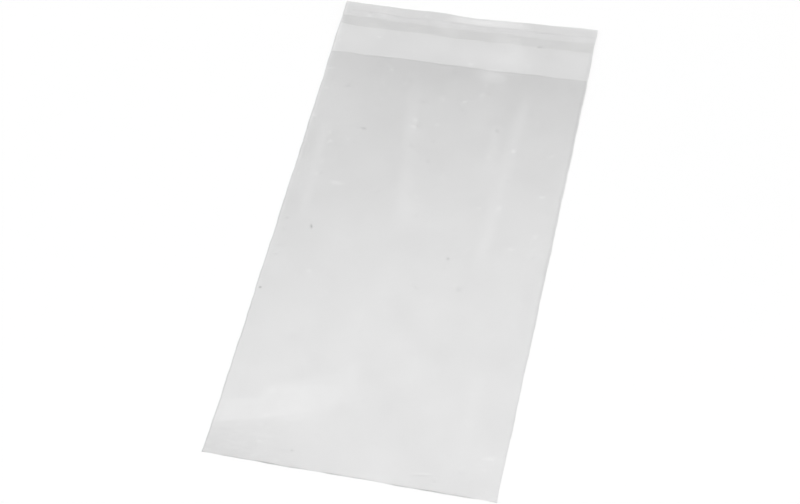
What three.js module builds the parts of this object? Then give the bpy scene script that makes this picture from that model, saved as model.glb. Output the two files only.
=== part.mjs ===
// A clear cellophane bag lying flat on its back. One sheet of film is folded at the bottom and
// welded down both sides, and its back panel runs on past the mouth as a flap. The flap carries
// an adhesive strip under a release liner.
// Millimetres, +Z up, +X across the bag, +Y from the bottom fold to the flap's free edge. The
// origin is the middle of the face that the bag lies on.
import * as THREE from "three";
import { mergeGeometries, mergeVertices } from "three/addons/utils/BufferGeometryUtils.js";

// The film and what is cut and welded from it
const FILM = 0.04; // thickness of the sheet
const BAG_WIDTH = 120; // over both side welds
const BODY_LENGTH = 210; // bottom fold to mouth
const FLAP_LENGTH = 30; // mouth to the flap's free edge
const WELD_WIDTH = 0.6; // hot-cut weld down each side
const WELD_RISE = 0.1; // bead of melted film on the weld

// The adhesive strip and its liner, on the flap's upper face
const TAPE_FROM_EDGE = 8.3; // flap's free edge to the adhesive
const TAPE_WIDTH = 5.4;
const TAPE_THICKNESS = 0.05;
const LINER_THICKNESS = 0.05;
const LINER_LIP = 3.1; // loose lip of the liner beyond the adhesive
const LIP_LIFT = 0.5; // how far the lip's edge stands off the flap
const LAYER_GAP = 0.02; // air left between stacked layers

// The air in the pocket
const AIR = 0.36; // clear height in the middle, above the least
const LEAST_AIR = 0.06; // clear height just inside the welds and the fold
const SIDE_SLOPE = 60; // run over which the panels part from a weld
const FOLD_SLOPE = 90; // run over which they part from the bottom fold
const MOUTH_GAPE = 0.2; // clear height that the mouth adds
const GAPE_REACH = 40; // how far below the mouth that fades out

// How the back panel lies: flat, with its sides lifting towards the flap's corners
const SIDE_LIFT = 0.9; // at the flap's corners
const LIFT_REACH = 60; // how far below the mouth the lift starts
const RIPPLE_LIFT = 0.4; // ripples that the strip puts into the flap
const RIPPLE_PITCH = 34;

// Soft ridges in the front panel: where each starts and ends, across from the centre line and
// down from the mouth, its height and its reach to either side
const RIDGES = [
  { from: [-19.5, 0], to: [-5.2, 94], height: 0.2, reach: 9 },
  { from: [35, 0], to: [30.4, 113], height: 0.2, reach: 9 },
  { from: [-52, 34], to: [-50, 98], height: 0.2, reach: 8 },
  { from: [24, 26], to: [26, 58], height: 0.15, reach: 7 },
  { from: [41.5, 152], to: [42.5, 192], height: 0.15, reach: 9 },
];
const RIDGE_FADE = 0.2; // share of a ridge's length over which each end fades out

// Largest cells of the film's grid, in the body and on the flap
const BODY_CELL = 6.5;
const FLAP_CELL = 3.5;

// Plain finishes
const FILM_FINISH = { color: 0xd9dbda, roughness: 0.12, opacity: 0.3 };
const ADHESIVE_FINISH = { color: 0xcfcec6, roughness: 0.35, opacity: 0.5 };
const LINER_FINISH = { color: 0xd8d9d6, roughness: 0.2, opacity: 0.4 };

// Lines across and along the bag that the sizes above give
const HALF_WIDTH = BAG_WIDTH / 2;
const POCKET_HALF = HALF_WIDTH - WELD_WIDTH;
const WELD_CREST = HALF_WIDTH - WELD_WIDTH / 2;
const FOLD_Y = -(BODY_LENGTH + FLAP_LENGTH) / 2;
const CREASE_Y = FOLD_Y + FILM;
const MOUTH_Y = FOLD_Y + BODY_LENGTH;
const FLAP_Y = MOUTH_Y + FLAP_LENGTH;
const TAPE_TOP_Y = FLAP_Y - TAPE_FROM_EDGE;
const TAPE_FOOT_Y = TAPE_TOP_Y - TAPE_WIDTH;
const LIP_Y = TAPE_TOP_Y + LINER_LIP;

// Evenly spaced values through all the stops, no further apart than cell
function stations(stops, cell) {
  const values = [stops[0]];
  for (let i = 1; i < stops.length; i += 1) {
    const run = stops[i] - stops[i - 1];
    const count = Math.max(1, Math.ceil(run / cell));
    for (let step = 1; step < count; step += 1) {
      values.push(stops[i - 1] + (run * step) / count);
    }
    values.push(stops[i]);
  }
  return values;
}

const POCKET_COLUMNS = stations([-POCKET_HALF, POCKET_HALF], BODY_CELL);
const COLUMNS = [-HALF_WIDTH, -WELD_CREST, ...POCKET_COLUMNS, WELD_CREST, HALF_WIDTH];
const POCKET_ROWS = stations([CREASE_Y, MOUTH_Y], BODY_CELL);
const BODY_ROWS = [FOLD_Y, ...POCKET_ROWS];
const FLAP_ROWS = stations([MOUTH_Y, TAPE_FOOT_Y, TAPE_TOP_Y, LIP_Y, FLAP_Y], FLAP_CELL);
const TAPE_ROWS = stations([TAPE_FOOT_Y, TAPE_TOP_Y], FLAP_CELL);
const LINER_ROWS = stations([TAPE_FOOT_Y, TAPE_TOP_Y, LIP_Y], FLAP_CELL);
const ALL_ROWS = [...BODY_ROWS, ...FLAP_ROWS.slice(1)];

// 0 to 1, with a soft start and end
function ease(share) {
  return THREE.MathUtils.smoothstep(share, 0, 1);
}

// Height of one soft ridge of the front panel
function ridgeHeight(ridge, x, y) {
  const start = new THREE.Vector2(ridge.from[0], MOUTH_Y - ridge.from[1]);
  const run = new THREE.Vector2(ridge.to[0], MOUTH_Y - ridge.to[1]).sub(start);
  const point = new THREE.Vector2(x, y).sub(start);
  const along = THREE.MathUtils.clamp(point.dot(run) / run.lengthSq(), 0, 1);
  const off = Math.min(point.distanceTo(run.multiplyScalar(along)) / ridge.reach, 1);
  const fade = ease(along / RIDGE_FADE) * ease((1 - along) / RIDGE_FADE);
  return ridge.height * fade * (1 - off * off) ** 2;
}

// Clear height between the two panels, none at the welds and the bottom fold
function gap(x, y) {
  if (Math.abs(x) >= POCKET_HALF || y <= CREASE_Y) {
    return 0;
  }
  const parted = ease((POCKET_HALF - Math.abs(x)) / SIDE_SLOPE) * ease((y - CREASE_Y) / FOLD_SLOPE);
  const gape = MOUTH_GAPE * ease(1 - (MOUTH_Y - y) / GAPE_REACH);
  const ridges = RIDGES.reduce((sum, ridge) => sum + ridgeHeight(ridge, x, y), 0);
  return LEAST_AIR + parted * (AIR + gape + ridges);
}

// Bead of melted film along the side welds
function bead(x) {
  const share = (HALF_WIDTH - Math.abs(x)) / WELD_WIDTH;
  return share < 1 ? WELD_RISE * Math.sin(Math.PI * share) : 0;
}

// Underside of the back panel and flap
function back(x, y) {
  const rise = ease((y - MOUTH_Y + LIFT_REACH) / (LIFT_REACH + FLAP_LENGTH));
  const lift = SIDE_LIFT * (x / HALF_WIDTH) ** 2 * rise;
  const wave = (1 - Math.cos((2 * Math.PI * x) / RIPPLE_PITCH)) / 2;
  return lift + RIPPLE_LIFT * wave * ease((y - MOUTH_Y) / FLAP_LENGTH);
}

// Upper side of the back panel and flap
function floor(x, y) {
  return back(x, y) + FILM + bead(x);
}

// Under side of the front panel
function roof(x, y) {
  return floor(x, y) + gap(x, y);
}

// Upper side of the front panel
function front(x, y) {
  return roof(x, y) + FILM;
}

function tapeFoot(x, y) {
  return floor(x, y) + LAYER_GAP;
}

function tapeTop(x, y) {
  return tapeFoot(x, y) + TAPE_THICKNESS;
}

function linerFoot(x, y) {
  return tapeTop(x, y) + LAYER_GAP + LIP_LIFT * ease((y - TAPE_TOP_Y) / LINER_LIP);
}

function linerTop(x, y) {
  return linerFoot(x, y) + LINER_THICKNESS;
}

// A grid of triangles through place(column, row), facing as column cross row
function patch(columns, rows, place, flipped = false) {
  const corner = (i, j) => j * columns.length + i;
  const faces = [];
  for (let j = 0; j + 1 < rows.length; j += 1) {
    for (let i = 0; i + 1 < columns.length; i += 1) {
      faces.push(corner(i, j), corner(i + 1, j), corner(i + 1, j + 1));
      faces.push(corner(i, j), corner(i + 1, j + 1), corner(i, j + 1));
    }
  }
  if (flipped) {
    faces.reverse();
  }
  const points = rows.flatMap((row) => columns.flatMap((column) => place(column, row)));
  const geometry = new THREE.BufferGeometry();
  geometry.setAttribute("position", new THREE.Float32BufferAttribute(points, 3));
  geometry.setIndex(faces);
  return geometry;
}

function topFace(columns, rows, height) {
  return patch(columns, rows, (x, y) => [x, y, height(x, y)]);
}

function underFace(columns, rows, height) {
  return patch(columns, rows, (x, y) => [x, y, height(x, y)], true);
}

// The wall round a grid's outline, between two heights
function rim(columns, rows, low, high) {
  const outline = [
    ...columns.map((x) => [x, rows[0]]),
    ...rows.slice(1).map((y) => [columns.at(-1), y]),
    ...columns.slice(0, -1).reverse().map((x) => [x, rows.at(-1)]),
    ...rows.slice(0, -1).reverse().map((y) => [columns[0], y]),
  ];
  return patch(outline, [low, high], ([x, y], height) => [x, y, height(x, y)]);
}

function solid(name, patches, finish) {
  const geometry = mergeVertices(mergeGeometries(patches));
  geometry.computeVertexNormals();
  const material = new THREE.MeshStandardMaterial({ metalness: 0, transparent: true, ...finish });
  const mesh = new THREE.Mesh(geometry, material);
  mesh.name = name;
  return mesh;
}

// The folded and welded sheet: back panel with its flap, pocket and front panel
function bagFilm() {
  const patches = [
    underFace(COLUMNS, ALL_ROWS, back),
    rim(COLUMNS, ALL_ROWS, back, floor),
    topFace(COLUMNS, FLAP_ROWS, floor),
    topFace(POCKET_COLUMNS, POCKET_ROWS, floor),
    underFace(POCKET_COLUMNS, POCKET_ROWS, roof),
    rim(COLUMNS, BODY_ROWS, roof, front),
    topFace(COLUMNS, BODY_ROWS, front),
  ];
  return solid("bag_film", patches, FILM_FINISH);
}

// A thin layer on the flap, between the welds
function flapLayer(name, rows, low, high, finish) {
  const patches = [
    underFace(POCKET_COLUMNS, rows, low),
    rim(POCKET_COLUMNS, rows, low, high),
    topFace(POCKET_COLUMNS, rows, high),
  ];
  return solid(name, patches, finish);
}

const bag = new THREE.Group();
bag.name = "cellophane_bag";
bag.add(
  bagFilm(),
  flapLayer("adhesive_strip", TAPE_ROWS, tapeFoot, tapeTop, ADHESIVE_FINISH),
  flapLayer("release_liner", LINER_ROWS, linerFoot, linerTop, LINER_FINISH),
);

export default bag;
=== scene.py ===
"""The looks of a clear cellophane bag with an adhesive flap, lying flat on a white table.

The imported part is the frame. Each of its three pieces is replaced by a finer mesh of the same form:
the folded and welded film, the adhesive strip and the release liner.
"""

import math

import bmesh
import bpy
import numpy as np
from mathutils import Matrix, Vector


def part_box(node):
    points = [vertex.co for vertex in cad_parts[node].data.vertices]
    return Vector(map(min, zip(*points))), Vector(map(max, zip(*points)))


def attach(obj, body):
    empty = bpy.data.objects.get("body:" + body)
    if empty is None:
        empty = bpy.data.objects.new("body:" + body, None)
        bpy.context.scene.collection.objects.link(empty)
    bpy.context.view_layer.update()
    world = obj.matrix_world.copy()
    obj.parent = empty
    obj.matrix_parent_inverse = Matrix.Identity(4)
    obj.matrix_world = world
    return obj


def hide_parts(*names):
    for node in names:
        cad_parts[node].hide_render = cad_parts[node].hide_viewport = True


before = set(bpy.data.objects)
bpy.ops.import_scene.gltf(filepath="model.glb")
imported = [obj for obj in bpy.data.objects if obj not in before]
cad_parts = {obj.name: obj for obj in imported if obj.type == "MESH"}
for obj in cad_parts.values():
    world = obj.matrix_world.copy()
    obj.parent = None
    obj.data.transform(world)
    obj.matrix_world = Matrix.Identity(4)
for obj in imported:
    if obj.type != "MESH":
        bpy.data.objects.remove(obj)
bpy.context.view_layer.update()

# Metres in a millimetre. Sizes are in millimetres where nothing else is said.
MM = 0.001

# Lines across and along the bag, from the frame
BAG_LOW, BAG_HIGH = (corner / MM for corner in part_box("bag_film"))
TAPE_LOW, TAPE_HIGH = (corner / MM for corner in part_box("adhesive_strip"))
HALF_WIDTH = BAG_HIGH.x
POCKET_HALF = TAPE_HIGH.x
FOLD_Y = BAG_LOW.y
FLAP_Y = BAG_HIGH.y
TAPE_FOOT_Y = TAPE_LOW.y
TAPE_TOP_Y = TAPE_HIGH.y
LIP_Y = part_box("release_liner")[1].y / MM

# Sizes of the film, the adhesive strip and its liner
FILM = 0.04
FLAP_LENGTH = 30
WELD_WIDTH = HALF_WIDTH - POCKET_HALF
WELD_RISE = 0.1
TAPE_WIDTH = TAPE_TOP_Y - TAPE_FOOT_Y
TAPE_THICKNESS = 0.05
LINER_THICKNESS = 0.05
LINER_LIP = LIP_Y - TAPE_TOP_Y
LIP_LIFT = 0.5
LAYER_GAP = 0.03
MOUTH_Y = FLAP_Y - FLAP_LENGTH
CREASE_Y = FOLD_Y + FILM

# The air in the pocket, and the runs over which the panels part
AIR = 0.36
LEAST_AIR = 0.06
SIDE_SLOPE = 60
FOLD_SLOPE = 90
MOUTH_GAPE = 0.2
GAPE_REACH = 40

# How the back panel and its flap lie: lifting sides, ripples and a curl in the flap's free edge
SIDE_LIFT = 0.9
LIFT_REACH = 60
RIPPLE_LIFT = 0.4
RIPPLE_PITCH = 34
CURL_LIFT = 0.34
CURL_RUN = 5
CURL_MIDDLE = 8
CURL_HALF = 26
CURL_PULL = 0.8

# Soft ridges of the front panel: start and end (across from the centre line, down from the mouth),
# height, reach to either side and how bright the painted highlight along the crest is
RIDGES = [
    ((-19.5, 0), (-5.2, 94), 0.2, 9, 0.17),
    ((35, 0), (30.4, 113), 0.15, 9, 0.17),
    ((-52, 34), (-50, 98), 0.2, 8, 0.15),
    ((24, 26), (26, 58), 0.08, 7, 0.14),
    ((41.5, 152), (42.5, 192), 0.15, 9, 0.1),
]
RIDGE_FADE = 0.2  # share of a ridge's length over which each end fades out
# The crest's painted highlight covers this share of a ridge's reach.
CREST_SHARE = 0.5  # share of a ridge's reach that is clearer

# Shallow waves: height, length, heading in degrees and phase in degrees. Those of the liner's lip are
# shares of its lift.
FRONT_WAVES = [
    (0.02, 61, 74, 10),
    (0.014, 37, 112, 200),
    (0.01, 26, 35, 80),
    (0.006, 17, 150, 300),
    (0.003, 11, 65, 120),
]
FLAP_WAVES = [(0.04, 29, 20, 40), (0.03, 17, -15, 160), (0.02, 11, 60, 250)]
LIP_WAVES = [(0.35, 21, 0, 30), (0.25, 9.7, 0, 200)]

# How far the cut edges wander, as waves along each edge
SIDE_WANDER = [(0.09, 43, 0, 20), (0.07, 17, 0, 130), (0.05, 7.3, 0, 260)]
END_WANDER = [(0.12, 57, 0, 75), (0.08, 23, 0, 310), (0.05, 9.1, 0, 150)]
MOUTH_WANDER = [(0.22, 71, 0, 220), (0.14, 29, 0, 40), (0.09, 12.7, 0, 100)]
FOOT_WANDER = [(0.2, 47, 0, 265), (0.15, 21, 0, 20), (0.1, 8.3, 0, 120)]
TOP_WANDER = [(0.2, 61, 0, 30), (0.12, 19, 0, 140)]
LIP_WANDER = [(0.25, 39, 0, 190), (0.12, 13, 0, 60)]
OTHER_SIDE = 137  # shift along the waves that makes opposite edges differ
WANDER_REACH = 15  # how far from an end or the mouth its wander reaches
SIDE_HOLD = 3  # power by which the sides' wander dies away towards the middle

# Two opposite corners are drawn to the left
CORNER_DRIFT = 0.55
DRIFT_FROM = 70
DRIFT_RUN = 70

# Cells of the fine grids
BODY_CELL = 1.3
FLAP_CELL = 0.8
WELD_CELLS = 5

SMOOTH_ANGLE = math.radians(40)
MERGE_DISTANCE = 0.002


# Heights of the film's faces

def ease(share):
    """0 to 1, with a soft start and end."""
    share = np.clip(share, 0, 1)
    return share * share * (3 - 2 * share)


def waves(table, x, y=0.0):
    """The sum of a few shallow waves."""
    total = np.zeros(np.shape(x))
    for height, length, heading, phase in table:
        turn = math.radians(heading)
        across = x * math.cos(turn) + y * math.sin(turn)
        total = total + height * np.sin(2 * math.pi * across / length + math.radians(phase))
    return total


def ridge_share(start, end, reach, x, y):
    """How far up a ridge's crest a point lies, 0 to 1. The ridge fades out at both ends."""
    x0, y0 = start[0], MOUTH_Y - start[1]
    run_x, run_y = end[0] - x0, MOUTH_Y - end[1] - y0
    along = np.clip(((x - x0) * run_x + (y - y0) * run_y) / (run_x**2 + run_y**2), 0, 1)
    off = np.hypot(x - x0 - along * run_x, y - y0 - along * run_y)
    side = np.clip(off / reach, 0, 1)
    return (1 - side**2) ** 2 * ease(along / RIDGE_FADE) * ease((1 - along) / RIDGE_FADE)


def ridge_heights(x, y):
    return sum(height * ridge_share(a, b, reach, x, y) for a, b, height, reach, _ in RIDGES)


def gap(x, y):
    """Clear height of the pocket, which opens at once beside the welds and the bottom fold."""
    parted = ease((POCKET_HALF - abs(x)) / SIDE_SLOPE) * ease((y - CREASE_Y) / FOLD_SLOPE)
    gape = MOUTH_GAPE * ease(1 - (MOUTH_Y - y) / GAPE_REACH)
    air = AIR + gape + ridge_heights(x, y) + waves(FRONT_WAVES, x, y)
    inside = (POCKET_HALF - abs(x) > MERGE_DISTANCE) & (y - CREASE_Y > MERGE_DISTANCE)
    return inside * (LEAST_AIR + parted * air)


def bead(x):
    """Melted bead along the side welds."""
    share = np.clip((HALF_WIDTH - abs(x)) / WELD_WIDTH, 0, 1)
    return WELD_RISE * np.sin(math.pi * share)


def curl_share(x, y):
    """How far up the flap's edge curls in its middle, 0 to 1."""
    return ease(1 - abs(x - CURL_MIDDLE) / CURL_HALF) * ease((y - FLAP_Y + CURL_RUN) / CURL_RUN)


def back(x, y):
    """Underside of the back panel and flap."""
    rise = ease((y - MOUTH_Y + LIFT_REACH) / (LIFT_REACH + FLAP_LENGTH))
    sides = SIDE_LIFT * (x / HALF_WIDTH) ** 2 * rise
    wave = (1 - np.cos(2 * math.pi * x / RIPPLE_PITCH)) / 2
    ripple = (RIPPLE_LIFT * wave + waves(FLAP_WAVES, x, y)) * ease((y - MOUTH_Y) / FLAP_LENGTH)
    return np.maximum(sides + ripple, 0) + CURL_LIFT * curl_share(x, y)


def floor(x, y):
    """Upper side of the back panel and flap."""
    return back(x, y) + FILM + bead(x)


def roof(x, y):
    """Underside of the front panel."""
    return floor(x, y) + gap(x, y)


def front(x, y):
    """Upper side of the front panel."""
    return roof(x, y) + FILM


def tape_foot(x, y):
    return floor(x, y) + LAYER_GAP


def tape_top(x, y):
    return tape_foot(x, y) + TAPE_THICKNESS


def liner_foot(x, y):
    lift = LIP_LIFT * (1 + waves(LIP_WAVES, x))
    return tape_top(x, y) + LAYER_GAP + lift * ease((y - TAPE_TOP_Y) / LINER_LIP)


def liner_top(x, y):
    return liner_foot(x, y) + LINER_THICKNESS


# How the cut edges wander off their straight lines

def side_wander(x, y):
    """How far a point moves across, which fades out towards the middle."""
    wave = waves(SIDE_WANDER, y + OTHER_SIDE * (x > 0)) * np.sign(x)
    drift = CORNER_DRIFT * ease((abs(y) - DRIFT_FROM) / DRIFT_RUN) * (x * y > 0)
    return (wave - drift) * abs(x / HALF_WIDTH) ** SIDE_HOLD


def bag_wander(x, y):
    """Where a point of the bag goes."""
    near_end = ease((abs(y) - FLAP_Y + WANDER_REACH) / WANDER_REACH)
    near_mouth = ease(1 - abs(y - MOUTH_Y) / WANDER_REACH)
    end = waves(END_WANDER, x + OTHER_SIDE * (y > 0)) * near_end - CURL_PULL * curl_share(x, y)
    return x + side_wander(x, y), y + end + waves(MOUTH_WANDER, x) * near_mouth


def strip_wander(x, y):
    """Where a point of the adhesive strip or its liner goes."""
    up_tape = np.clip((y - TAPE_FOOT_Y) / TAPE_WIDTH, 0, 1)
    up_lip = np.clip((y - TAPE_TOP_Y) / LINER_LIP, 0, 1)
    foot = waves(FOOT_WANDER, x) * (1 - up_tape)
    top = waves(TOP_WANDER, x) * up_tape * (1 - up_lip)
    return x + side_wander(x, y), y + foot + top + waves(LIP_WANDER, x) * up_lip


# Painted shade and painted highlights in the film's tint

# Lines of painted shade along the bottom fold, under the mouth and under the liner's lip, and a
# painted highlight just above the mouth: width, shade and how bright the highlight is
FOLD_LINE, FOLD_SHADE = 0.7, 0.09
MOUTH_LINE, MOUTH_SHADE, MOUTH_HIGHLIGHT = 1.0, 0.014, 0.15
LIP_LINE, LIP_SHADE = 0.6, 0.035
PATCH_PITCHES = 7, 3.1  # by which these lines come and go

# The scuffed corner at the left of the fold: reach across and along, and shade
SCUFF_ACROSS, SCUFF_UP, SCUFF_SHADE = 60, 22, 0.013

# Painted shade at the strip's left end
STRIP_END_SHADE = 0.005

# Margins of painted shade: start across, middle along, run outwards, reach along and shade
MARGINS = [
    (-15, 72, 75, 50, 0.008),
    (12, -12, -75, 75, 0.005),
    (30, 82, 30, 32, 0.006),
    (-20, 90, -40, 30, 0.005),
]

# Painted highlights about the mouth and on the flap: place, reach across and along, and how bright
GLINTS = [
    (16.5, 86.8, 9, 5.5, 0.8),
    (24, 97, 18, 11, 0.25),
    (4, 98, 15, 10, 0.22),
    (-8, 102, 5, 9, 0.08),
]


def patchy(x):
    """Lines across the bag come and go, 0 to 1."""
    long, short = PATCH_PITCHES
    return (1 + np.sin(x / long) * np.sin(x / short)) / 2


def painted_margin_shade(x, y, start, middle, run, reach, depth):
    """One margin of painted shade, deeper towards its side of the bag."""
    return depth * np.maximum((x - start) / run, 0) ** 2 * ease(1 - abs(y - middle) / reach)


def spot_share(x, y, middle_x, middle_y, across, up):
    """A soft spot, 1 in its middle and 0 at its reach."""
    return ease(1 - np.hypot((x - middle_x) / across, (y - middle_y) / up))


def painted_bag_shade(x, y):
    """Painted shade along the fold, under the mouth's cut edge and at the margins."""
    fold = FOLD_SHADE * patchy(x) * ease(1 - (y - FOLD_Y) / FOLD_LINE)
    below = MOUTH_Y + waves(MOUTH_WANDER, x) - y
    lip = MOUTH_SHADE * patchy(x) * ease(1 - below / MOUTH_LINE) * (below >= -MERGE_DISTANCE)
    return fold + lip + sum(painted_margin_shade(x, y, *margin) for margin in MARGINS)


def bag_scuff(x, y):
    """How scuffed the film is, in one corner."""
    return SCUFF_SHADE * spot_share(x, y, -HALF_WIDTH, FOLD_Y, SCUFF_ACROSS, SCUFF_UP)


def painted_bag_highlights(x, y):
    """Painted highlights: along the ridges' crests, in a few patches and just above the mouth."""
    crests = sum(
        clear * ridge_share(start, end, CREST_SHARE * reach, x, y)
        for start, end, _, reach, clear in RIDGES
    )
    glints = sum(clear * spot_share(x, y, *spot) for *spot, clear in GLINTS)
    above = y - MOUTH_Y - waves(MOUTH_WANDER, x)
    lip = MOUTH_HIGHLIGHT * patchy(x) * ease(1 - above / MOUTH_LINE) * (above > MERGE_DISTANCE)
    return np.minimum(crests + glints + lip, 1)


def painted_strip_shade(x, y):
    """Painted shade along the liner's cut lip and at the left end of the strip."""
    below = LIP_Y + waves(LIP_WANDER, x) - y
    lip = LIP_SHADE * patchy(x) * ease(1 - below / LIP_LINE)
    return lip + STRIP_END_SHADE * ease(-x / HALF_WIDTH)


# Meshes

def stations(stops, cell):
    """Evenly spaced values through all the stops, no further apart than cell."""
    values = [stops[0]]
    for low, high in zip(stops, stops[1:]):
        count = max(1, math.ceil((high - low) / cell))
        values.extend(low + (high - low) * (step + 1) / count for step in range(count))
    return np.array(values)


def face_grid(columns, rows, height, up, material):
    """A face's grid of points, whether it faces up, and its material's number."""
    x, y = np.meshgrid(columns, rows)
    return np.stack([x, y, height(x, y)], axis=-1), up, material


def rim(columns, rows, low, high, material):
    """The wall round a grid's outline, between two heights."""
    right, left = np.full(len(rows) - 1, columns[-1]), np.full(len(rows) - 1, columns[0])
    bottom, top = np.full(len(columns), rows[0]), np.full(len(columns) - 1, rows[-1])
    x = np.concatenate([columns, right, columns[-2::-1], left])
    y = np.concatenate([bottom, rows[1:], top, rows[-2::-1]])
    points = np.stack([np.stack([x, y, height(x, y)], axis=-1) for height in (low, high)])
    return points, True, material


def make_piece(name, patches, materials, wander, looks):
    """One closed mesh of all the patches. Its edges wander, and its points keep their looks."""
    mesh = bmesh.new()
    for points, up, material in patches:
        x, y = wander(points[..., 0], points[..., 1])
        placed = np.stack([x, y, points[..., 2]], axis=-1) * MM
        grid = [[mesh.verts.new(point) for point in row] for row in placed]
        for near, far in zip(grid, grid[1:]):
            for i in range(len(near) - 1):
                corners = [near[i], near[i + 1], far[i + 1], far[i]]
                face = mesh.faces.new(corners if up else corners[::-1])
                face.material_index = material
                face.smooth = True
    bmesh.ops.remove_doubles(mesh, verts=mesh.verts, dist=MERGE_DISTANCE * MM)
    data = bpy.data.meshes.new(name)
    mesh.to_mesh(data)
    mesh.free()
    data.set_sharp_from_angle(angle=SMOOTH_ANGLE)
    places = np.array([vertex.co[:2] for vertex in data.vertices]) / MM
    for title, look in looks.items():
        values = look(places[:, 0], places[:, 1])
        data.attributes.new(title, "FLOAT", "POINT").data.foreach_set("value", values)
    for material in materials:
        data.materials.append(material)
    piece = bpy.data.objects.new(name, data)
    bpy.context.scene.collection.objects.link(piece)
    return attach(piece, "root")


# Node helpers

BLACK, WHITE = (0, 0, 0, 1), (1, 1, 1, 1)


def grey(level):
    return (level, level, level, 1)


def add_node(tree, kind, inputs=None, **settings):
    """A node with its settings, and its inputs set or linked by name or number."""
    made = tree.nodes.new(kind)
    for name, value in settings.items():
        setattr(made, name, value)
    for name, value in (inputs or {}).items():
        if isinstance(value, bpy.types.NodeSocket):
            tree.links.new(value, made.inputs[name])
        else:
            made.inputs[name].default_value = value
    return made


def maths(tree, operation, first, second=0.0):
    return add_node(tree, "ShaderNodeMath", {0: first, 1: second}, operation=operation).outputs[0]


def vector_maths(tree, operation, *values):
    return add_node(tree, "ShaderNodeVectorMath", dict(enumerate(values)), operation=operation).outputs


def carry(tree, value, low, high, to_low=0.0, to_high=1.0, smooth=False):
    """A value carried from one range to another, and held at the ends."""
    inputs = {"Value": value, "From Min": low, "From Max": high, "To Min": to_low, "To Max": to_high}
    kind = "SMOOTHSTEP" if smooth else "LINEAR"
    return add_node(tree, "ShaderNodeMapRange", inputs, interpolation_type=kind).outputs[0]


def noise(tree, place, scale, detail):
    """The level and the colour of a noise."""
    inputs = {"Vector": place, "Scale": scale, "Detail": detail}
    return add_node(tree, "ShaderNodeTexNoise", inputs).outputs


def blend_colours(tree, share, first, second):
    inputs = {0: share, 6: first, 7: second}
    return add_node(tree, "ShaderNodeMix", inputs, data_type="RGBA").outputs[2]


def painted(tree, title):
    """A look that the mesh's points keep."""
    return add_node(tree, "ShaderNodeAttribute", attribute_name=title).outputs["Fac"]


def new_material(name):
    material = bpy.data.materials.new(name)
    material.use_nodes = True
    material.node_tree.nodes.clear()
    return material, material.node_tree


# Materials

# Films: tint where clearest and where dullest, index and roughness. One face of each film mirrors for
# both, so the index stands for two faces. The back panel is the same film as the front, and its darker
# tint is painted shade.
FILMS = {
    "front_film": (grey(0.996), grey(0.99), 1.85, 0.012),
    "shaded_back_film": (grey(0.938), grey(0.932), 1.85, 0.012),
    # The welds' darker tints are partly the thicker seam and partly painted shade for the bead's
    # refraction; the left weld is darker still, as painted shade.
    "shaded_left_weld": (grey(0.915), grey(0.89), 1.7, 0.2),
    "shaded_right_weld": (grey(0.955), grey(0.915), 1.7, 0.2),
    "adhesive": (grey(1.0), (0.997, 0.997, 0.995, 1), 1.1, 0.2),
    "liner_film": (grey(1.0), grey(0.99), 1.5, 0.06),
}

# Small dark marks of the front panel, the last of them painted shade under a painted highlight, and
# painted highlights of the back panel: place, half length, half width, heading in degrees and depth
DARK_MARKS = [
    (-34.3, 48.5, 2.0, 0.8, -10, 0.05),
    (-44.3, -6.8, 1.6, 0.6, -70, 0.095),
    (17.6, -13.2, 1.1, 1.0, 0, 0.045),
    (-24.7, -112.8, 0.9, 0.7, -40, 0.05),
    (-58.1, -40.7, 0.8, 0.7, 0, 0.1),
    (28.9, -114.0, 5.0, 0.4, 7, 0.02),
]
HIGHLIGHT_MARKS = [
    (53.5, -102.0, 3.8, 1.4, 6, 0.28),
    (28.8, -113.1, 5.2, 0.6, 7, 0.25),
    (-39.2, 17.6, 4.5, 1.3, -5, 0.38),
]
MARK_CORE = 0.3  # share of a mark's size that has its full depth

# Flecks of painted shade and painted highlight, for tiny bumps, scattered over the films: cells per
# metre across and along, size and full core as shares of a cell, and how far they are warped
FLECK_CELLS = (110, 140, 0)
FLECK_SIZE = 0.14
FLECK_CORE = FLECK_SIZE / 3
FLECK_WARP = 4

# The share of the cells with a fleck of painted shade, and of those with a painted highlight, and the
# flecks' depths. They are fainter towards the bottom fold.
FLECK_SHARE, FLECK_SHADE, FLECK_HIGHLIGHT = 0.32, 0.015, 0.4
FLECK_FADE_FROM, FLECK_FADE_TO, FLECK_LEAST = 20, -60, 0.55

# Scuffs: cells per metre across and along, detail, and the least and most of their strength
SCUFF_CELLS, SCUFF_DETAIL = (130, 420, 0), 3
SCUFF_LEAST, SCUFF_MOST = 0.5, 1.5

# Haze and fine bump of the film: features per metre, detail and depth
CLOUD_SCALE, CLOUD_DETAIL = 45, 3
FINE_SCALE, FINE_DETAIL, FINE_DEPTH = 300, 2, 0.0002

# The range that holds most of a noise's values
NOISE_LOW, NOISE_HIGH = 0.3, 0.7

# How the haze varies the roughness, and how much of a painted highlight shows where the haze is least
ROUGH_LEAST, ROUGH_MOST = 0.7, 1.3
HIGHLIGHT_BASE = 0.4

# The table: features per metre, detail and its least white
TABLE_SCALE, TABLE_DETAIL, TABLE_WHITE = 4, 2, 0.99


def marked_share(tree, place, marks):
    """How strongly small soft marks cover a surface."""
    total = 0.0
    for x, y, half_long, half_wide, heading, depth in marks:
        spot = {
            "Vector": place,
            "Location": (x * MM, y * MM, 0),
            "Rotation": (0, 0, math.radians(heading)),
            "Scale": (half_long * MM, half_wide * MM, 1),
        }
        local = add_node(tree, "ShaderNodeMapping", spot, vector_type="TEXTURE").outputs[0]
        off = vector_maths(tree, "LENGTH", local)["Value"]
        total = maths(tree, "ADD", carry(tree, off, 1.0, MARK_CORE, to_high=depth), total)
    return total


def scuff_lines(tree, place):
    """Ragged short lines across the bag, 1 on average."""
    drawn = vector_maths(tree, "MULTIPLY", place, SCUFF_CELLS)[0]
    lines = noise(tree, drawn, 1.0, SCUFF_DETAIL)["Fac"]
    return carry(tree, lines, NOISE_LOW, NOISE_HIGH, SCUFF_LEAST, SCUFF_MOST)


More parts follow.
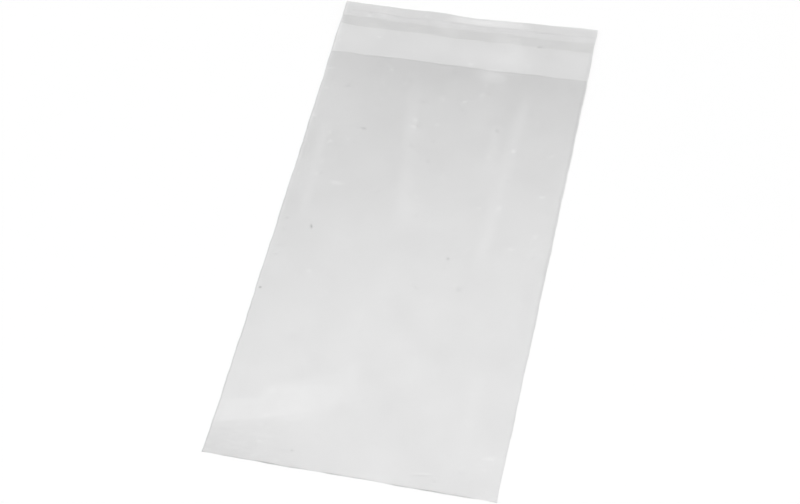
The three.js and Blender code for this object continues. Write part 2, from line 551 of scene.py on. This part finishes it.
def scattered_flecks(tree, place, warp):
    """How strongly small ragged flecks of painted shade and painted highlight, for tiny bumps, darken
    and lighten a film.
    """
    moved = vector_maths(tree, "MULTIPLY_ADD", warp, (FLECK_WARP * MM, FLECK_WARP * MM, 0), place)[0]
    moved = vector_maths(tree, "MULTIPLY", moved, FLECK_CELLS)[0]
    cells = {"Vector": moved, "Scale": 1.0}
    cells = add_node(tree, "ShaderNodeTexVoronoi", cells, voronoi_dimensions="2D").outputs
    core = carry(tree, cells["Distance"], FLECK_SIZE, FLECK_CORE)
    along = add_node(tree, "ShaderNodeSeparateXYZ", {0: place}).outputs["Y"]
    fade = carry(tree, along, FLECK_FADE_FROM * MM, FLECK_FADE_TO * MM, 1.0, FLECK_LEAST)
    core = maths(tree, "MULTIPLY", core, fade)
    chance = add_node(tree, "ShaderNodeSeparateColor", {0: cells["Color"]}).outputs[0]
    dark = carry(tree, chance, FLECK_SHARE, 0.0, to_high=FLECK_SHADE)
    light = carry(tree, chance, 1 - FLECK_SHARE, 1 - FLECK_SHARE / 2, to_high=FLECK_HIGHLIGHT)
    return maths(tree, "MULTIPLY", core, dark), maths(tree, "MULTIPLY", core, light)


def film_material(name, dark_marks=(), highlight_marks=()):
    """Clear film: it lets light through with a faint tint, and mirrors a little of it."""
    clear, dull, index, roughness = FILMS[name]
    material, tree = new_material(name)
    place = add_node(tree, "ShaderNodeTexCoord").outputs["Object"]
    cloud = noise(tree, place, CLOUD_SCALE, CLOUD_DETAIL)["Fac"]
    haze = carry(tree, cloud, NOISE_LOW, NOISE_HIGH)
    fine, warp = noise(tree, place, FINE_SCALE, FINE_DETAIL)
    fleck_shade, fleck_highlights = scattered_flecks(tree, place, warp)

    # Painted shade, from the "shade" look and the flecks, darkens the tint, and painted highlights,
    # from the "clear" look, the flecks and the highlight marks, whiten it; the scuffs and the dark
    # marks darken it too.
    shade = maths(tree, "MULTIPLY", painted(tree, "scuff"), scuff_lines(tree, place))
    for dark in (painted(tree, "shade"), fleck_shade, marked_share(tree, place, dark_marks)):
        shade = maths(tree, "ADD", shade, dark)
    light = maths(tree, "MULTIPLY", painted(tree, "clear"), maths(tree, "ADD", haze, HIGHLIGHT_BASE))
    for bright in (fleck_highlights, marked_share(tree, place, highlight_marks)):
        light = maths(tree, "ADD", light, bright)
    tint = blend_colours(tree, haze, clear, dull)
    tint = blend_colours(tree, light, tint, WHITE)
    tint = blend_colours(tree, shade, tint, BLACK)
    through = add_node(tree, "ShaderNodeBsdfTransparent", {"Color": tint}).outputs[0]

    bump = {"Height": fine, "Strength": 1.0, "Distance": FINE_DEPTH * MM}
    bump = add_node(tree, "ShaderNodeBump", bump).outputs[0]
    rough = roughness * ROUGH_LEAST, roughness * ROUGH_MOST
    rough = carry(tree, cloud, NOISE_LOW, NOISE_HIGH, *rough)
    gloss = {"Color": WHITE, "Roughness": rough, "Normal": bump}
    gloss = add_node(tree, "ShaderNodeBsdfGlossy", gloss).outputs[0]
    mirror = add_node(tree, "ShaderNodeFresnel", {"IOR": index, "Normal": bump}).outputs[0]
    inside = add_node(tree, "ShaderNodeNewGeometry").outputs["Backfacing"]
    mirror = maths(tree, "MULTIPLY", mirror, maths(tree, "SUBTRACT", 1.0, inside))
    whole = add_node(tree, "ShaderNodeMixShader", {0: mirror, 1: through, 2: gloss}).outputs[0]
    add_node(tree, "ShaderNodeOutputMaterial", {"Surface": whole})
    return material


def table_material():
    """Plain white, faintly uneven."""
    material, tree = new_material("white_table")
    place = add_node(tree, "ShaderNodeTexCoord").outputs["Object"]
    cloud = noise(tree, place, TABLE_SCALE, TABLE_DETAIL)["Fac"]
    white = blend_colours(tree, cloud, grey(TABLE_WHITE), WHITE)
    lit = add_node(tree, "ShaderNodeBsdfDiffuse", {"Color": white}).outputs[0]
    add_node(tree, "ShaderNodeOutputMaterial", {"Surface": lit})
    return material


# The bag

FRONT_FILM, SHADED_BACK_FILM, SHADED_LEFT_WELD, SHADED_RIGHT_WELD = range(4)


def make_bag():
    """The folded and welded sheet: back panel with its flap, pocket and front panel."""
    inner = stations([-POCKET_HALF, POCKET_HALF], BODY_CELL)
    right = np.linspace(POCKET_HALF, HALF_WIDTH, WELD_CELLS + 1)
    left = -right[::-1]
    columns = np.concatenate([left, inner[1:-1], right])
    fold_stops = [CREASE_Y, FOLD_Y + FOLD_LINE / 2, FOLD_Y + FOLD_LINE]
    mouth_stops = [MOUTH_Y - MOUTH_LINE, MOUTH_Y - MOUTH_LINE / 2, MOUTH_Y]
    pocket_rows = stations(fold_stops + mouth_stops, BODY_CELL)
    body_rows = np.concatenate([[FOLD_Y], pocket_rows])
    flap_stops = [MOUTH_Y, MOUTH_Y + MOUTH_LINE / 2, TAPE_FOOT_Y, TAPE_TOP_Y, LIP_Y, FLAP_Y]
    flap_rows = stations(flap_stops, FLAP_CELL)
    all_rows = np.concatenate([body_rows, flap_rows[1:]])

    def panel(rows, height, up, film):
        strips = ((left, SHADED_LEFT_WELD), (inner, film), (right, SHADED_RIGHT_WELD))
        return [face_grid(across, rows, height, up, material) for across, material in strips]

    patches = [
        *panel(all_rows, back, False, SHADED_BACK_FILM),
        rim(columns, all_rows, back, floor, SHADED_BACK_FILM),
        *panel(flap_rows, floor, True, SHADED_BACK_FILM),
        face_grid(inner, pocket_rows, floor, True, SHADED_BACK_FILM),
        face_grid(inner, pocket_rows, roof, False, FRONT_FILM),
        rim(columns, body_rows, roof, front, FRONT_FILM),
        *panel(body_rows, front, True, FRONT_FILM),
    ]
    materials = [
        film_material("front_film", dark_marks=DARK_MARKS),
        film_material("shaded_back_film", highlight_marks=HIGHLIGHT_MARKS),
        film_material("shaded_left_weld"),
        film_material("shaded_right_weld"),
    ]
    # The "clear" look is painted highlights, and the "shade" look painted shade.
    looks = {"shade": painted_bag_shade, "clear": painted_bag_highlights, "scuff": bag_scuff}
    bag = make_piece("bag_sheet", patches, materials, bag_wander, looks)
    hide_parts("bag_film")


def make_layer(name, rows, low, high, material):
    """A thin strip on the flap, from weld to weld."""
    columns = stations([-POCKET_HALF, POCKET_HALF], FLAP_CELL)
    patches = [
        face_grid(columns, rows, low, False, 0),
        rim(columns, rows, low, high, 0),
        face_grid(columns, rows, high, True, 0),
    ]
    return make_piece(name, patches, [material], strip_wander, {"shade": painted_strip_shade})


def make_adhesive():
    rows = stations([TAPE_FOOT_Y, TAPE_TOP_Y], FLAP_CELL)
    adhesive = make_layer("adhesive", rows, tape_foot, tape_top, film_material("adhesive"))
    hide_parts("adhesive_strip")


def make_liner():
    lip_stops = [LIP_Y - LIP_LINE, LIP_Y - LIP_LINE / 2, LIP_Y]
    rows = stations([TAPE_FOOT_Y, TAPE_TOP_Y, *lip_stops], FLAP_CELL)
    liner = make_layer("liner", rows, liner_foot, liner_top, film_material("liner_film"))
    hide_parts("release_liner")


# Stage

# The camera, in the photograph's frame
IMAGE_WIDTH = 800
SENSOR_WIDTH = 36.0
FOCAL_PIXELS = 1719.3
CAMERA_AZIMUTH = math.radians(20.712)
CAMERA_ELEVATION = math.radians(56.421)
CAMERA_ROLL = math.radians(-9.189)
CAMERA_DISTANCE = 733.0 * MM
CAMERA_TARGET = Vector((-3.335, -13.174, 0)) * MM
CLIP_START = 10 * MM

# The table, in metres
TABLE_RADIUS, TABLE_SIDES = 4.0, 96
TABLE_DROP = 0.05 * MM

# A light tent, turned a little. Places across and along it are given per unit of height.
TENT_TURN = math.radians(10)
LEAST_HEIGHT = 0.05

# It is dark behind the bag: levels, where the dark starts and is full, and how it sets in
TENT_LEVEL, DARK_LEVEL = 1.23, 0.2
DARK_FROM, DARK_TO = 0.515, 0.815
DARK_POWER = 2.0

# Its two small bright windows: middle and half size of each, soft edge and level
WINDOWS = [((-0.203, 0.528), (0.04, 0.008)), ((-0.181, 0.54), (0.032, 0.006))]
WINDOW_SOFT, WINDOW_LEVEL = 0.0006, 0.22

# Its dimmer foot: heights between which it sets in, and level
FOOT_FROM, FOOT_TO, FOOT_LEVEL = 0.62, 0.45, 0.75

# Dark gaps round the foot: how many, the range of a wave that makes their edges, how dark, and the
# heights between which they set in
GAPS, GAP_FROM, GAP_TO, GAP_DEPTH = 16, 0.4, 0.8, 0.32
GAP_FOOT, GAP_FULL = 0.1, 0.2

# A large soft box in front of the bag, in metres and watts
KEY_PLACE = Vector((0.0, -0.9, 1.5))
KEY_SIDE = 1.2
KEY_POWER = 1.5

# Enough for light to pass all the layers of film on its way down and up again
FILM_FACES_PASSED = 32


def make_table():
    mesh = bmesh.new()
    bmesh.ops.create_circle(mesh, cap_ends=True, radius=TABLE_RADIUS, segments=TABLE_SIDES)
    data = bpy.data.meshes.new("table")
    mesh.to_mesh(data)
    mesh.free()
    data.materials.append(table_material())
    table = bpy.data.objects.new("table", data)
    table.location.z = -TABLE_DROP
    bpy.context.scene.collection.objects.link(table)


def tent_light(tree, along):
    """The tent's level, which falls off to the dark behind the bag."""
    dark = maths(tree, "POWER", carry(tree, along, DARK_FROM, DARK_TO), DARK_POWER)
    return carry(tree, dark, 0.0, 1.0, TENT_LEVEL, DARK_LEVEL)


def past_edge(tree, place, middle, half):
    """How far a place lies past a range's edge, and less than 0 inside it."""
    off = maths(tree, "ABSOLUTE", maths(tree, "SUBTRACT", place, middle))
    return maths(tree, "SUBTRACT", off, half)


def window_light(tree, across, along):
    """What the bright windows add, with crisp edges."""
    beyond = 1.0
    for (middle_across, middle_along), (half_across, half_along) in WINDOWS:
        past_across = past_edge(tree, across, middle_across, half_across)
        past_along = past_edge(tree, along, middle_along, half_along)
        beyond = maths(tree, "MINIMUM", maths(tree, "MAXIMUM", past_across, past_along), beyond)
    return carry(tree, beyond, WINDOW_SOFT, 0.0, to_high=WINDOW_LEVEL, smooth=True)


def foot_light(tree, way):
    """The level of the tent's foot, with soft dark gaps round it that fade out towards the table."""
    around = maths(tree, "ARCTAN2", way["Y"], way["X"])
    wave = maths(tree, "SINE", maths(tree, "MULTIPLY", around, GAPS))
    gaps = carry(tree, wave, GAP_FROM, GAP_TO, smooth=True)
    depth = carry(tree, way["Z"], GAP_FOOT, GAP_FULL, to_high=GAP_DEPTH, smooth=True)
    return maths(tree, "SUBTRACT", FOOT_LEVEL, maths(tree, "MULTIPLY", gaps, depth))


def make_sky():
    """A light tent that is dark behind the bag and dimmer round its foot, with two bright windows."""
    world = bpy.data.worlds.new("studio")
    bpy.context.scene.world = world
    world.use_nodes = True
    tree = world.node_tree
    tree.nodes.clear()
    way = add_node(tree, "ShaderNodeTexCoord").outputs["Generated"]
    turned = {"Vector": way, "Rotation": (0, 0, -TENT_TURN)}
    way = add_node(tree, "ShaderNodeMapping", turned).outputs[0]
    way = add_node(tree, "ShaderNodeSeparateXYZ", {0: way}).outputs
    height = maths(tree, "MAXIMUM", way["Z"], LEAST_HEIGHT)
    across, along = (maths(tree, "DIVIDE", way[axis], height) for axis in "XY")
    above = maths(tree, "ADD", tent_light(tree, along), window_light(tree, across, along))
    foot = carry(tree, way["Z"], FOOT_FROM, FOOT_TO, smooth=True)
    level = {0: foot, 2: above, 3: foot_light(tree, way)}
    level = add_node(tree, "ShaderNodeMix", level).outputs[0]
    light = add_node(tree, "ShaderNodeBackground", {"Color": WHITE, "Strength": level}).outputs[0]
    add_node(tree, "ShaderNodeOutputWorld", {"Surface": light})


def make_key():
    """A large soft box in front of the bag."""
    data = bpy.data.lights.new("key", "AREA")
    data.size = KEY_SIDE
    data.energy = KEY_POWER
    key = bpy.data.objects.new("key", data)
    key.location = KEY_PLACE
    key.rotation_euler = (-KEY_PLACE).to_track_quat("-Z", "Y").to_euler()
    bpy.context.scene.collection.objects.link(key)


def make_camera():
    data = bpy.data.cameras.new("camera")
    data.sensor_fit = "HORIZONTAL"
    data.sensor_width = SENSOR_WIDTH
    data.lens = FOCAL_PIXELS / IMAGE_WIDTH * SENSOR_WIDTH
    data.clip_start = CLIP_START
    camera = bpy.data.objects.new("camera", data)
    level = Vector((math.sin(CAMERA_AZIMUTH), -math.cos(CAMERA_AZIMUTH), 0))
    behind = level * math.cos(CAMERA_ELEVATION) + Vector((0, 0, math.sin(CAMERA_ELEVATION)))
    right = Vector((0, 0, 1)).cross(behind).normalized()
    up = behind.cross(right)
    turn = Matrix((right, up, behind)).transposed() @ Matrix.Rotation(CAMERA_ROLL, 3, "Z")
    place = Matrix.Translation(CAMERA_TARGET + behind * CAMERA_DISTANCE)
    camera.matrix_world = place @ turn.to_4x4()
    bpy.context.scene.collection.objects.link(camera)
    bpy.context.scene.camera = camera


make_bag()
make_adhesive()
make_liner()
make_table()
make_sky()
make_key()
make_camera()
bpy.context.scene.view_settings.view_transform = "Standard"
bpy.context.scene.cycles.transparent_max_bounces = FILM_FACES_PASSED
